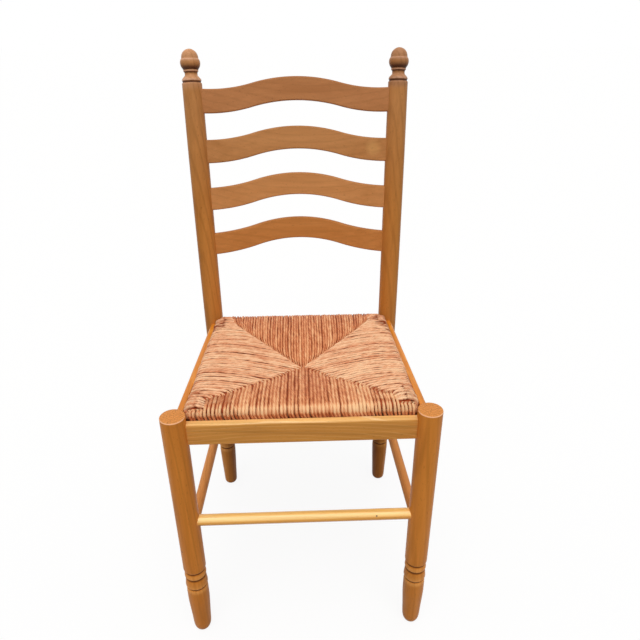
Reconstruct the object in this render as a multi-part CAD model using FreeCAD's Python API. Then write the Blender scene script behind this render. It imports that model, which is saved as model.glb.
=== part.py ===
"""Ladderback chair: turned legs and posts, four serpentine slats, drop-in rush seat.

Millimetres, +Z up, +Y to the back, origin on the floor under the middle of the chair.
"""
import FreeCAD
import Part
import math
import os

V = FreeCAD.Vector

# Overall places
FRONT_Y = -202.7
LEG_X = 191.25
LEG_RADIUS = 19.0
LEG_HEIGHT = 469.0
LEG_RIM = 1.4

# Back post: its axis bends in an upright plane turned a little outwards
POST_RADIUS = 17.75
POST_FOOT = V(179.9, 380.8 + FRONT_Y, 0)
POST_SPLAY = 0.115
POST_FOOT_SLOPE = math.radians(-5.17)
POST_ELBOW_SLOPE = math.radians(3.05)
POST_TOP_SLOPE = math.radians(9.65)
POST_ELBOW_LOW = 400.0
POST_ELBOW_HIGH = 520.0
POST_BEND_END = 860.0
POST_HEIGHT = 950.0
FINIAL_LENGTH = 58.0

# Turned feet
POST_DIP = 1.0
FOOT_TIP_RADIUS = 9.5
FOOT_ANKLE_RADIUS = 14.8
FOOT_ANKLE_HEIGHT = 7.0
FOOT_TAPER_TOP = 85.0
LEG_COLLAR = 18.4
LEG_GROOVES = [113.5, 137.0, 152.0]
POST_COLLAR = 17.2
POST_GROOVES = [126.5, 150.0, 165.0]
GROOVE_DEPTH = 2.0
GROOVE_HALF = 2.4

# Slats, lowest first
SLAT_HEIGHTS = [615.0, 699.0, 782.5, 866.5]
SLAT_WIDTH = 40.5
SLAT_THICKNESS = 9.0
SLAT_RISE = 23.0
SLAT_SAGITTA = 32.0
SLAT_CLEAR_HALF = 160.0
SLAT_TENON = 12.0

# Seat rails
RAIL_TOP = 455.0
RAIL_HEIGHT = 37.0
RAIL_THICKNESS = 21.0
RAIL_OUTSET = 4.0
RAIL_LIP = 11.0
RAIL_ROUND = 3.3
REBATE_DEPTH = 18.0
TENON_THICKNESS = 9.0
TENON_HEIGHT = 27.0
TENON_REACH = 13.0

# Rungs
FRONT_RUNG_RADIUS = 9.2
SIDE_RUNG_RADIUS = 8.7
FRONT_RUNG_Z = 261.0
SIDE_RUNG_FRONT_Z = 222.5
SIDE_RUNG_BACK_Z = 231.5
BACK_RUNG_Z = 268.0
RUNG_DEPTH = 17.0

# Drop-in seat
SEAT_PLAY = 1.0
RUSH_THICKNESS = 5.5
FRAME_TOP = 463.0
FRAME_WIDTH = 30.0
FRAME_EDGE = 4.0
FRAME_TENON = 16.0
FRAME_TENON_SHOULDER = 4.0
FRAME_TENON_HALF = 4.0
PAD_SHOULDER = 461.0
PAD_HEEL = 5.0
PAD_ROLL = 12.0
PAD_ROLL_STEPS = 4
PAD_CREST = 471.0
PAD_SWELL = 5.0
PAD_DISH_STEPS = 7
PAD_FLAT = 0.4
PAD_MIDDLE_SHARE = 0.97
PAD_MIDDLE_TOP = 451.0
PAD_MIDDLE_BOTTOM = 439.0
PAD_MIDDLE_Y = 166.0 + FRONT_Y
POCKET_SHARE = 0.8
POCKET_GAP = 1.0

# Corner blocks, glued in
BLOCK_LEG = 46.0
BLOCK_THICKNESS = 17.0
BLOCK_NOSE = 10.0

RAIL_BOTTOM = RAIL_TOP - RAIL_HEIGHT
LEDGE = RAIL_TOP - REBATE_DEPTH
RAIL_MIDDLE_Z = (RAIL_TOP + RAIL_BOTTOM) / 2


def mirrored(point):
    """The same point on the other side of the chair."""
    return V(-point.x, point.y, point.z)


def polyline_face(points):
    """Flat face inside straight edges."""
    return Part.Face(Part.makePolygon(points + [points[0]]))


def turned(profile, base, direction):
    """Solid turned from (radius, height) points, standing on the base along a direction."""
    points = [V(0, 0, profile[0][1])]
    points += [V(radius, 0, height) for radius, height in profile]
    points.append(V(0, 0, profile[-1][1]))
    solid = polyline_face(points).revolve(V(0, 0, 0), V(0, 0, 1), 360)
    solid.Placement = FreeCAD.Placement(base, FreeCAD.Rotation(V(0, 0, 1), direction))
    return solid


def line(start, end):
    """Straight edge between two (x, z) points."""
    return Part.makeLine(V(start[0], 0, start[1]), V(end[0], 0, end[1]))


def arc(start, through, end):
    """Circular arc through three (x, z) points."""
    points = [V(point[0], 0, point[1]) for point in (start, through, end)]
    return Part.Arc(points[0], points[1], points[2]).toShape()


def foot_profile(groove_heights, collar, shaft):
    """Turned foot from its tip up to the last groove: ankle, taper, and beads between grooves."""
    profile = [
        (FOOT_TIP_RADIUS, 0),
        (FOOT_ANKLE_RADIUS, FOOT_ANKLE_HEIGHT),
        (collar, FOOT_TAPER_TOP),
    ]
    for height in groove_heights:
        profile.append((collar, height - GROOVE_HALF))
        profile.append((collar - GROOVE_DEPTH, height))
        profile.append((collar, height + GROOVE_HALF))
    profile[-1] = (shaft, groove_heights[-1] + GROOVE_HALF)
    return profile


def front_leg_blank():
    """Right front leg before its mortises are cut."""
    profile = foot_profile(LEG_GROOVES, LEG_COLLAR, LEG_RADIUS)
    profile.append((LEG_RADIUS, LEG_HEIGHT - LEG_RIM))
    profile.append((LEG_RADIUS - LEG_RIM, LEG_HEIGHT))
    return turned(profile, V(LEG_X, FRONT_Y, 0), V(0, 0, 1))


def finial_profile():
    """Acorn finial above the post: base ring, hollow, neck, fillet, acorn and its cap."""
    base_groove = (POST_RADIUS - GROOVE_DEPTH, 4.4)
    base_lip = (POST_RADIUS - 0.9, 6.2)
    base_top = (POST_RADIUS - 1.4, 8.8)
    hollow = (12.6, 12.6)
    neck = (10.9, 17.0)
    fillet_low = (13.4, 21.6)
    fillet_high = (13.4, 24.2)
    acorn_low = (16.4, 30.4)
    acorn_widest = (17.2, 35.2)
    acorn_lip = (16.3, 39.8)
    cap_rim = (14.9, 41.8)
    cap_shoulder = (12.0, 51.8)
    cap_crown = (6.4, 56.6)
    return [
        (POST_RADIUS, 0),
        (POST_RADIUS, 3.0),
        base_groove,
        base_lip,
        base_top,
        hollow,
        neck,
        fillet_low,
        fillet_high,
        acorn_low,
        acorn_widest,
        acorn_lip,
        cap_rim,
        cap_shoulder,
        cap_crown,
        (0, FINIAL_LENGTH),
    ]


def post_plane():
    """Level direction in which the right post bends, and the axis it bends about."""
    backwards = V(POST_SPLAY, 1, 0).normalize()
    return backwards, V(0, 0, 1).cross(backwards)


def post_lean(slope):
    """Direction of the post's axis where it leans back by a slope."""
    return post_plane()[0] * math.sin(slope) + V(0, 0, math.cos(slope))


def post_bends():
    """The post's two bends, each as start point, centre, start slope and end slope."""
    backwards = post_plane()[0]
    point = POST_FOOT + post_lean(POST_FOOT_SLOPE) * (POST_ELBOW_LOW / math.cos(POST_FOOT_SLOPE))
    slopes = [POST_FOOT_SLOPE, POST_ELBOW_SLOPE, POST_TOP_SLOPE]
    bends = []
    for index, end_height in enumerate([POST_ELBOW_HIGH, POST_BEND_END]):
        start, end = slopes[index], slopes[index + 1]
        radius = (end_height - point.z) / (math.sin(end) - math.sin(start))
        centre = point + (backwards * math.cos(start) - V(0, 0, math.sin(start))) * radius
        bends.append((point, centre, start, end))
        point = centre - (backwards * math.cos(end) - V(0, 0, math.sin(end))) * radius
    return bends, point


def post_axis_at(height):
    """Point and direction of the right post's axis at a height."""
    backwards = post_plane()[0]
    bends, bend_end = post_bends()
    if height <= POST_ELBOW_LOW:
        direction = post_lean(POST_FOOT_SLOPE)
        return POST_FOOT + direction * (height / direction.z), direction
    for point, centre, start, end in bends:
        radius = (point - centre).Length
        slope = math.asin((height - centre.z) / radius)
        if slope <= end:
            side = backwards * math.cos(slope) - V(0, 0, math.sin(slope))
            return centre - side * radius, post_lean(slope)
    direction = post_lean(POST_TOP_SLOPE)
    return bend_end + direction * ((height - bend_end.z) / direction.z), direction


def bent_stretch(point, centre, start, end):
    """Bent length of the right post between two slopes."""
    ring = Part.Face(Part.Wire(Part.makeCircle(POST_RADIUS, point, post_lean(start))))
    return ring.revolve(centre, post_plane()[1], math.degrees(end - start))


def back_post_blank():
    """Right back post before its mortises are cut: turned foot, bent shaft and finial."""
    lower = post_lean(POST_FOOT_SLOPE)
    upper = post_lean(POST_TOP_SLOPE)
    bends, bend_end = post_bends()
    profile = foot_profile(POST_GROOVES, POST_COLLAR, POST_RADIUS)
    profile.append((POST_RADIUS, POST_ELBOW_LOW / lower.z + POST_DIP))
    post = turned(profile, POST_FOOT - lower * POST_DIP, lower)
    stretches = []
    for point, centre, start, end in bends:
        stretches.append(bent_stretch(point, centre, start, end))
    neck = (POST_HEIGHT - POST_BEND_END) / upper.z - FINIAL_LENGTH
    stretches.append(Part.makeCylinder(POST_RADIUS, neck, bend_end, upper))
    stretches.append(turned(finial_profile(), bend_end + upper * neck, upper))
    post = post.fuse(stretches).removeSplitter()
    floor = Part.makeBox(200, 200, 50, V(POST_FOOT.x - 100, POST_FOOT.y - 100, -50))
    return post.cut(floor)


def slat_edge(half_length, base):
    """Serpentine long edge of a slat: straight ends, two hollows and the rise between them."""
    quarter = SLAT_CLEAR_HALF / 2
    radius = (quarter**2 + (SLAT_RISE / 2) ** 2) / SLAT_RISE
    half_angle = math.asin(quarter / radius) / 2
    over = radius * math.sin(half_angle)
    up = radius * (1 - math.cos(half_angle))
    edges = [line((-half_length, base), (-SLAT_CLEAR_HALF, base))]
    left_turn = (-quarter, base + SLAT_RISE / 2)
    right_turn = (quarter, base + SLAT_RISE / 2)
    edges.append(arc((-SLAT_CLEAR_HALF, base), (over - SLAT_CLEAR_HALF, base + up), left_turn))
    edges.append(arc(left_turn, (0, base + SLAT_RISE), right_turn))
    edges.append(arc(right_turn, (SLAT_CLEAR_HALF - over, base + up), (SLAT_CLEAR_HALF, base)))
    edges.append(line((SLAT_CLEAR_HALF, base), (half_length, base)))
    return edges


def slat_outline(half_length):
    """Outline of a slat as a face in the XZ plane, the middle of its ends at z = 0."""
    low = -SLAT_WIDTH / 2
    high = SLAT_WIDTH / 2
    right_end = line((half_length, low), (half_length, high))
    left_end = line((-half_length, high), (-half_length, low))
    upper = slat_edge(half_length, high)
    upper.reverse()
    return Part.Face(Part.Wire(slat_edge(half_length, low) + [right_end] + upper + [left_end]))


def slat(height):
    """One bent slat on the posts' lean: its outline cut out of a thin cylinder wall."""
    point, direction = post_axis_at(height)
    half_length = point.x - POST_RADIUS + SLAT_TENON
    bend = (SLAT_CLEAR_HALF**2 + SLAT_SAGITTA**2) / (2 * SLAT_SAGITTA)
    centre = V(0, SLAT_SAGITTA - bend, -SLAT_WIDTH * 2)
    wall = Part.makeCylinder(bend + SLAT_THICKNESS / 2, SLAT_WIDTH * 4, centre)
    wall = wall.cut(Part.makeCylinder(bend - SLAT_THICKNESS / 2, SLAT_WIDTH * 4, centre))
    outline = slat_outline(half_length)
    outline.translate(V(0, -SLAT_SAGITTA * 2, 0))
    board = outline.extrude(V(0, SLAT_SAGITTA * 4, 0)).common(wall)
    lean = math.degrees(math.atan2(direction.y, direction.z))
    board.Placement = FreeCAD.Placement(
        V(0, point.y, point.z), FreeCAD.Rotation(V(1, 0, 0), -lean)
    )
    return board


# The seat's four sides, anticlockwise from the front, start at these corners of the axes
SIDES = ["front", "right", "back", "left"]
POST_AT_RAIL = post_axis_at(RAIL_MIDDLE_Z)[0]
CORNERS = [
    V(-LEG_X, FRONT_Y, 0),
    V(LEG_X, FRONT_Y, 0),
    V(POST_AT_RAIL.x, POST_AT_RAIL.y, 0),
    V(-POST_AT_RAIL.x, POST_AT_RAIL.y, 0),
]


def along(side):
    """Direction of a side, from its first corner to the next."""
    return (CORNERS[(side + 1) % 4] - CORNERS[side % 4]).normalize()


def inward(side):
    """Level direction from a side to the middle of the seat."""
    return V(0, 0, 1).cross(along(side))


def corner(index, inset_before, inset_after):
    """Where the side before a corner and the side after it cross, each moved inwards."""
    before = along(index - 1)
    after = along(index)
    start = CORNERS[index % 4] + inward(index - 1) * inset_before
    other = CORNERS[index % 4] + inward(index) * inset_after
    gap = other - start
    reach = (gap.x * after.y - gap.y * after.x) / (before.x * after.y - before.y * after.x)
    return start + before * reach


def prism(points, low, high):
    """Upright solid over a flat outline."""
    face = polyline_face([V(point.x, point.y, low) for point in points])
    return face.extrude(V(0, 0, high - low))


def side_placement(side):
    """Frame with X along a side, Y inwards and Z up, from the side's first corner."""
    direction = along(side)
    turn = math.degrees(math.atan2(direction.y, direction.x))
    return FreeCAD.Placement(CORNERS[side], FreeCAD.Rotation(V(0, 0, 1), turn))


def side_length(side):
    return (CORNERS[(side + 1) % 4] - CORNERS[side]).Length


def rail_body(side):
    """Seat rail before coping: rounded outer edge, lip and rebate, mitred on the legs' axes."""
    outer = -RAIL_OUTSET
    inner = outer + RAIL_THICKNESS
    lip = outer + RAIL_LIP
    start = -2 * RAIL_THICKNESS
    round_low = V(start, outer, RAIL_TOP - RAIL_ROUND)
    round_high = V(start, outer + RAIL_ROUND, RAIL_TOP)
    round_middle = V(start, outer + RAIL_ROUND * 0.29, RAIL_TOP - RAIL_ROUND * 0.29)
    straight = Part.makePolygon([
        round_high,
        V(start, lip, RAIL_TOP),
        V(start, lip, LEDGE),
        V(start, inner, LEDGE),
        V(start, inner, RAIL_BOTTOM),
        V(start, outer, RAIL_BOTTOM),
        round_low,
    ])
    rounding = Part.Arc(round_low, round_middle, round_high).toShape()
    section = Part.Face(Part.Wire(straight.Edges + [rounding]))
    body = section.extrude(V(side_length(side) + 4 * RAIL_THICKNESS, 0, 0))
    body.Placement = side_placement(side)
    return body.common(mitre_block(side))


def mitre_block(side):
    """Space that belongs to one side, cut on the mitre planes through the corners' axes."""
    reach = 2 * RAIL_THICKNESS
    outline = [
        corner(side, -reach, -reach),
        corner(side + 1, -reach, -reach),
        corner(side + 1, reach, reach),
        corner(side, reach, reach),
    ]
    return prism(outline, RAIL_BOTTOM - 10, RAIL_TOP + 10)


def rail_tenons(side):
    """Bar that runs through the rail and ends in its two tenons."""
    first_radius = LEG_RADIUS if side in (0, 1) else POST_RADIUS
    last_radius = LEG_RADIUS if side in (0, 3) else POST_RADIUS
    start = first_radius - TENON_REACH
    end = side_length(side) - last_radius + TENON_REACH
    outer = RAIL_LIP - RAIL_OUTSET - TENON_THICKNESS
    low = RAIL_BOTTOM + (RAIL_HEIGHT - TENON_HEIGHT) / 2
    bar = Part.makeBox(end - start, TENON_THICKNESS, TENON_HEIGHT, V(start, outer, low))
    bar.Placement = side_placement(side)
    return bar.common(mitre_block(side))


def rung_between(first, second, first_radius, second_radius, radius):
    """Round rung between two axes, let RUNG_DEPTH into the wood at each end."""
    direction = (second - first).normalize()
    start = first + direction * (first_radius - RUNG_DEPTH)
    end = second - direction * (second_radius - RUNG_DEPTH)
    return Part.makeCylinder(radius, (end - start).Length, start, direction)


def rungs():
    """The four rungs by node name."""
    front = V(LEG_X, FRONT_Y, FRONT_RUNG_Z)
    side_front = V(LEG_X, FRONT_Y, SIDE_RUNG_FRONT_Z)
    side_back = post_axis_at(SIDE_RUNG_BACK_Z)[0]
    back = post_axis_at(BACK_RUNG_Z)[0]
    right = rung_between(side_front, side_back, LEG_RADIUS, POST_RADIUS, SIDE_RUNG_RADIUS)
    return {
        "stretcher_front": rung_between(
            mirrored(front), front, LEG_RADIUS, LEG_RADIUS, FRONT_RUNG_RADIUS
        ),
        "stretcher_back": rung_between(
            mirrored(back), back, POST_RADIUS, POST_RADIUS, SIDE_RUNG_RADIUS
        ),
        "stretcher_right": right,
        "stretcher_left": mirror(right),
    }


def mirror(shape):
    return shape.mirror(V(0, 0, 0), V(1, 0, 0))


PAD_INSET = RAIL_LIP - RAIL_OUTSET + SEAT_PLAY
FRAME_OUTSIDE = PAD_INSET + RUSH_THICKNESS
FRAME_INSIDE = FRAME_OUTSIDE + FRAME_WIDTH
FRAME_BOTTOM = LEDGE + RUSH_THICKNESS
RAIL_INSIDE = RAIL_THICKNESS - RAIL_OUTSET
PAD_MIDDLE = V(0, PAD_MIDDLE_Y, 0)
PAD_REACH = (PAD_MIDDLE - CORNERS[0]).dot(inward(0)) - PAD_INSET


def wedge(side):
    """Flat outline of one panel of the seat: two corners of the pad and its middle."""
    first = corner(side, PAD_INSET, PAD_INSET)
    last = corner(side + 1, PAD_INSET, PAD_INSET)
    return [first, last, PAD_MIDDLE]


def pad_ring(distance, height):
    """The pad's outline drawn in towards its middle: by a distance at the front, in step elsewhere."""
    share = 1 - distance / PAD_REACH
    points = []
    for index in range(4):
        edge = corner(index, PAD_INSET, PAD_INSET)
        point = PAD_MIDDLE + (edge - PAD_MIDDLE) * share
        points.append(V(point.x, point.y, height))
    return points


def roll(start, end, steps):
    """Heights and distances of a quarter roll between two (distance, height) points, start excluded."""
    steps = [math.pi / 2 * (index + 1) / steps for index in range(steps)]
    across = end[0] - start[0]
    up = end[1] - start[1]
    return [(start[0] + across * (1 - math.cos(a)), start[1] + up * math.sin(a)) for a in steps]


def dish(start, end, steps):
    """Points of the swell and the dip from the rolled edge to the pad's middle."""
    points = []
    for index in range(1, steps + 1):
        share = index / steps
        swell = PAD_SWELL * math.sin(math.pi * share**0.7)
        height = start[1] + (end[1] - start[1]) * share + swell
        points.append((start[0] + (end[0] - start[0]) * share, height))
    return points


def pad_body(inset):
    """Pad with its rolled edges, crown and mitred dip, or the space inside its woven layer."""
    middle_top = (PAD_REACH * PAD_MIDDLE_SHARE, PAD_MIDDLE_TOP - inset)
    middle_low = (PAD_REACH * PAD_MIDDLE_SHARE, PAD_MIDDLE_BOTTOM + inset)
    shoulder = (inset, PAD_SHOULDER)
    crest = (PAD_ROLL + inset, PAD_CREST - inset)
    heel = (PAD_HEEL + inset, LEDGE + inset)
    outline = [middle_low, (PAD_REACH * PAD_FLAT, LEDGE + inset), heel]
    outline.append((inset, LEDGE + PAD_HEEL + inset))
    outline.append(shoulder)
    outline += roll(shoulder, crest, PAD_ROLL_STEPS)
    outline += dish(crest, middle_top, PAD_DISH_STEPS)
    rings = [pad_ring(distance, height) for distance, height in outline]
    faces = [polyline_face(rings[0]), polyline_face(rings[-1])]
    for lower, upper in zip(rings, rings[1:]):
        for index in range(4):
            after = (index + 1) % 4
            faces.append(polyline_face([lower[index], lower[after], upper[after], upper[index]]))
    return Part.Solid(Part.Shell(faces))


def seat_notches():
    """Clearance round the legs and posts where they pass the seat's corners."""
    post = post_axis_at(PAD_CREST)[0]
    height = PAD_CREST - LEDGE + 30
    notches = []
    for x, y, radius in [(LEG_X, FRONT_Y, LEG_RADIUS), (post.x, post.y, POST_RADIUS)]:
        for sign in (1, -1):
            foot = V(sign * x, y, LEDGE - 10)
            notches.append(Part.makeCylinder(radius + SEAT_PLAY, height, foot))
    return notches


def frame_rail(side):
    """One rail of the loose seat frame, its outer arrises eased for the rush."""
    if side in (1, 3):
        outline = [
            corner(side, FRAME_OUTSIDE, FRAME_OUTSIDE),
            corner(side + 1, FRAME_OUTSIDE, FRAME_OUTSIDE),
            corner(side + 1, FRAME_INSIDE, FRAME_OUTSIDE),
            corner(side, FRAME_OUTSIDE, FRAME_INSIDE),
        ]
    else:
        outline = [
            corner(side, FRAME_INSIDE, FRAME_OUTSIDE),
            corner(side + 1, FRAME_OUTSIDE, FRAME_INSIDE),
            corner(side + 1, FRAME_INSIDE, FRAME_INSIDE),
            corner(side, FRAME_INSIDE, FRAME_INSIDE),
        ]
    rail = prism(outline, FRAME_BOTTOM, FRAME_TOP)
    outer_edges = []
    for edge in rail.Edges:
        middle = edge.CenterOfMass
        inset = (middle - CORNERS[side]).dot(inward(side))
        level = abs(edge.Vertexes[0].Z - edge.Vertexes[-1].Z) < 0.01
        if level and abs(inset - FRAME_OUTSIDE) < 0.01:
            outer_edges.append(edge)
    return rail.makeChamfer(FRAME_EDGE, outer_edges)


def frame_tenons(side):
    """Bar that ends in the two tenons of a front or back frame rail."""
    tip = FRAME_INSIDE - FRAME_TENON
    near = FRAME_OUTSIDE + FRAME_TENON_SHOULDER
    far = FRAME_INSIDE - FRAME_TENON_SHOULDER
    middle = (FRAME_TOP + FRAME_BOTTOM) / 2
    outline = [
        corner(side, tip, near),
        corner(side + 1, near, tip),
        corner(side + 1, far, tip),
        corner(side, tip, far),
    ]
    return prism(outline, middle - FRAME_TENON_HALF, middle + FRAME_TENON_HALF)


def stuffing(side, space):
    """Packing in one pocket of the weave, between the upper and the lower layer."""
    outline = wedge(side)
    centroid = (outline[0] + outline[1] + outline[2]) * (1 / 3)
    pocket = prism(
        [centroid + (point - centroid) * POCKET_SHARE for point in outline], LEDGE, PAD_CREST + 20
    )
    inside = FRAME_INSIDE + POCKET_GAP
    opening = prism([corner(index, inside, inside) for index in range(4)], LEDGE, PAD_CREST + 20)
    return space.common(pocket).common(opening)


def seat_pieces():
    """The drop-in seat's pieces by node name."""
    pad = pad_body(0)
    space = pad_body(RUSH_THICKNESS)
    notches = seat_notches()
    rails = [frame_rail(side) for side in range(4)]
    tenons = {side: frame_tenons(side) for side in (0, 2)}
    pieces = {}
    for side, name in enumerate(SIDES):
        if side in tenons:
            rail = rails[side].fuse(tenons[side]).removeSplitter()
        else:
            rail = rails[side].cut([tenons[0], tenons[2]] + notches)
        pieces["seat_frame_" + name] = rail
        pieces["rush_stuffing_" + name] = stuffing(side, space)
    pieces["rush_weave"] = pad.cut(notches + list(pieces.values()))
    return pieces


def block_outline(index):
    """Flat outline of the block in one corner of the rails."""
    inner = corner(index, RAIL_INSIDE, RAIL_INSIDE)
    ahead = along(index) * BLOCK_LEG
    behind = along(index - 1) * -BLOCK_LEG
    return [
        inner,
        inner + ahead,
        inner + ahead + inward(index) * BLOCK_NOSE,
        inner + behind + inward(index - 1) * BLOCK_NOSE,
        inner + behind,
    ]


def frame_pieces():
    """The glued chair frame's pieces by node name."""
    leg = front_leg_blank()
    post = back_post_blank()
    tenons = [rail_tenons(side) for side in range(4)]
    rounds = rungs()
    slats = [slat(height) for height in SLAT_HEIGHTS]
    blanks = [leg, mirror(leg), post, mirror(post)]
    pieces = {}
    for side, name in enumerate(SIDES):
        body = rail_body(side).cut(blanks)
        pieces["rail_" + name] = body.fuse(tenons[side]).removeSplitter()
    leg = leg.cut([tenons[0], tenons[1], rounds["stretcher_front"], rounds["stretcher_right"]])
    post = post.cut(
        [tenons[1], tenons[2], rounds["stretcher_back"], rounds["stretcher_right"]] + slats
    )
    pieces["front_leg_right"] = leg
    pieces["front_leg_left"] = mirror(leg)
    pieces["back_post_right"] = post
    pieces["back_post_left"] = mirror(post)
    pieces.update(rounds)
    for index, board in enumerate(slats):
        pieces["slat_" + str(index + 1)] = board
    places = ["front_left", "front_right", "back_right", "back_left"]
    for index, place in enumerate(places):
        block = prism(block_outline(index), LEDGE - BLOCK_THICKNESS, LEDGE)
        pieces["corner_block_" + place] = block
    return pieces


def main():
    os.makedirs("parts", exist_ok=True)
    pieces = frame_pieces()
    pieces.update(seat_pieces())
    for name, shape in pieces.items():
        shape.exportStep("parts/" + name + ".step")
        print(name, "solids", len(shape.Solids), "valid", shape.isValid())


main()
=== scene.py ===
"""Ladderback chair: smooth turned posts and legs, bent slats, beech grain and a woven rush seat."""
import random
from math import asin, atan2, copysign, cos, exp, hypot, pi, radians, sin, sqrt

import bmesh
import bpy
from mathutils import Matrix, Vector, noise


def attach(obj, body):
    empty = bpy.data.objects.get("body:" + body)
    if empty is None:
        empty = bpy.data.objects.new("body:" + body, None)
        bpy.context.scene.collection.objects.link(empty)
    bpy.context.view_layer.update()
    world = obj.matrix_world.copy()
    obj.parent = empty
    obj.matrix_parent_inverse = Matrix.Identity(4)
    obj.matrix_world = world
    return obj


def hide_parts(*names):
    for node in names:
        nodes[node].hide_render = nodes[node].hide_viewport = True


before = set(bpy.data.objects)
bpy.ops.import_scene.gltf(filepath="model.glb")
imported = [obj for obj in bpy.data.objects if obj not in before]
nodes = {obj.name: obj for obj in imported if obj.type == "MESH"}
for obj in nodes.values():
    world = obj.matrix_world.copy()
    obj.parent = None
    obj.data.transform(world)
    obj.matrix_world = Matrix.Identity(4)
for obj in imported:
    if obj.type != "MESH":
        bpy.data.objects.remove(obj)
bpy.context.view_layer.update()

X, Y, Z = 0, 1, 2
MM = 0.001

# Legs and posts, in metres; the taper of a foot is heights with their radii
FRONT_Y = -0.2027
LEG_X = 0.19125
LEG_RADIUS = 0.019
LEG_HEIGHT = 0.469
LEG_COLLAR = 0.0184
LEG_GROOVE = 0.1135
LEG_ROUND = 0.0016
RIM_STEPS = 6
POST_RADIUS = 0.01775
POST_FOOT = Vector((0.1799, 0.3808 + FRONT_Y, 0))
POST_SPLAY = 0.115
POST_SLOPES = [radians(-5.17), radians(3.05), radians(9.65)]
POST_BENDS = [(0.400, 0.520), (0.520, 0.860)]
POST_HEIGHT = 0.950
POST_COLLAR = 0.0172
POST_GROOVE = 0.1185
POST_TOP_RADIUS = 0.0172
POST_NARROWING = 0.780
SHAFT_START = 0.20
SHAFT_STEP = 0.010
FINIAL_LENGTH = 0.058
LEG_TAPER = [
    (0.0, 0.0086), (0.0012, 0.0108), (0.0035, 0.0124), (0.0070, 0.0139), (0.0110, 0.0148),
    (0.020, 0.0156), (0.035, 0.0162), (0.050, 0.0170), (0.065, 0.0178), (0.080, LEG_COLLAR),
]
POST_TAPER = [
    (0.0, 0.0095), (0.0010, 0.0115), (0.0028, 0.0129), (0.0060, 0.0138), (0.0120, 0.0142),
    (0.030, 0.0148), (0.055, 0.0157), (0.080, 0.0166),
]

# Slats, lowest first
SLAT_HEIGHTS = [0.615, 0.699, 0.7825, 0.8665]
SLAT_WIDTH = 0.0405
SLAT_THICKNESS = 0.009
SLAT_RISE = 0.023
SLAT_SAGITTA = 0.032
SLAT_CLEAR_HALF = 0.160
SLAT_TENON = 0.012
SLAT_ROUND = 0.0024
SLAT_STEPS = 96

# Seat rails
RAIL_MIDDLE_Z = 0.4365
RAIL_TOP = 0.455
RAIL_BOTTOM = 0.418
RAIL_LEDGE = 0.437
RAIL_OUTER = -0.004
RAIL_INNER = 0.017
RAIL_LIP = 0.007
RAIL_ROUND = 0.0033
RAIL_STEPS = 12

# Rungs
RUNG_DEPTH = 0.012
FRONT_RUNG_RADIUS = 0.0092
SIDE_RUNG_RADIUS = 0.0087
FRONT_RUNG_Z = 0.261
SIDE_RUNG_FRONT_Z = 0.2225
SIDE_RUNG_BACK_Z = 0.2315
BACK_RUNG_Z = 0.268

# Angle over which an edge stays sharp, on turned, swept and CAD pieces
TURNED_SHARP = radians(38)
SWEPT_SHARP = radians(50)
CAD_SHARP = radians(30)

# Rush pad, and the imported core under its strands
PAD_INSET = 0.008
PAD_MIDDLE = Vector((0, 0.166 + FRONT_Y, 0))
PAD_BOTTOM = 0.4374
PAD_SHOULDER = 0.461
PAD_CREST = 0.471
PAD_ROLL = 0.012
PAD_HEEL = 0.005
PAD_SWELL = 0.005
PAD_MIDDLE_TOP = 0.4515
CORE_INSET = 0.0072
CORE_DEPTH = 0.0032
CORE_STEPS = 12
CORE_PARTS = 10
LEG_CLEARANCE = 0.0045
CORE_CLEARANCE = 0.007

# One strand of rush: its size, its course under and over the edge and how pale it is along its way, with
# painted shade under the seat and on the outer face and a painted highlight on the roll
STRAND_PITCH = 0.0057
STRAND_STEP = 0.004
STRAND_SIDES = 8
STRAND_HALF_WIDTH = 0.00305
STRAND_HALF_HEIGHT = 0.0022
STRAND_UNDER = 0.060
STRAND_SLANT = 0.30
HEEL_SLANT = 0.0235
EDGE_HEIGHTS = (0.4440, 0.4480, 0.4520, 0.4560, 0.4595)
ROLL_RINGS = 18
# Where the painted highlight on the roll of the front peaks, and how far it spreads
ROLL_MIDDLE = 0.0065
ROLL_SPREAD = 0.0085
SWING_REACH = 0.011
PINCH_REACH = 0.007
PINCH_SHARE = 0.74
HEAVE = 0.0005
# Painted shade on the strands under the seat and on the outer face below the roll
UNDER_PAINTED_SHADE = -0.15
EDGE_PAINTED_SHADE = -0.12
TIP_PALENESS = 0.22
TIP_STEPS = 5

# How the strands of a panel lie: their irregularity, the dive at their ends, overlaps and sideways bends
SPACING_SPREAD = (-0.12, 0.12)
WIDTH_SPREAD = (0.88, 1.12)
RISE_SPREAD = (-0.0005, 0.0002)
SIDE_TURN = 0.009
FRONT_TURN = 0.010
BACK_TURN = 0.018
SIDE_SHORT = (0.0004, 0.0028)
SHORT_IN_FRONT = 0.0034
LONG_BEHIND = 0.0006
SIDE_SINK = 0.0034
TIP_OVER = (0.0012, 0.0042)
TIP_SINK = 0.0004
LAP_SINK = 0.0035
CORNER_SINK = 0.0006
CORNER_LIFT = 0.0020
SIDE_INSET = 0.0010
FACE_DRIFT = 0.02
SIDE_SAG = 0.010
SAG_LENGTH = 0.326
FRONT_HOOK = 0.0058
SIDE_HOOK = 0.0035
BACK_SWING = 0.0055
BACK_PITCH = 0.86
SIDE_BARE = 0.62
SIDE_BARE_ENDS = (-0.12, 0.095)
FACE_BARE = 0.66
FACE_BARE_START = 0.1
# Painted highlight on the roll of the front strands
FRONT_ROLL_PAINTED_SHEEN = 0.48
LEFT_PALENESS = 0.34
RIGHT_PALENESS = 0.43
LAP_START = 0.144

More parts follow.
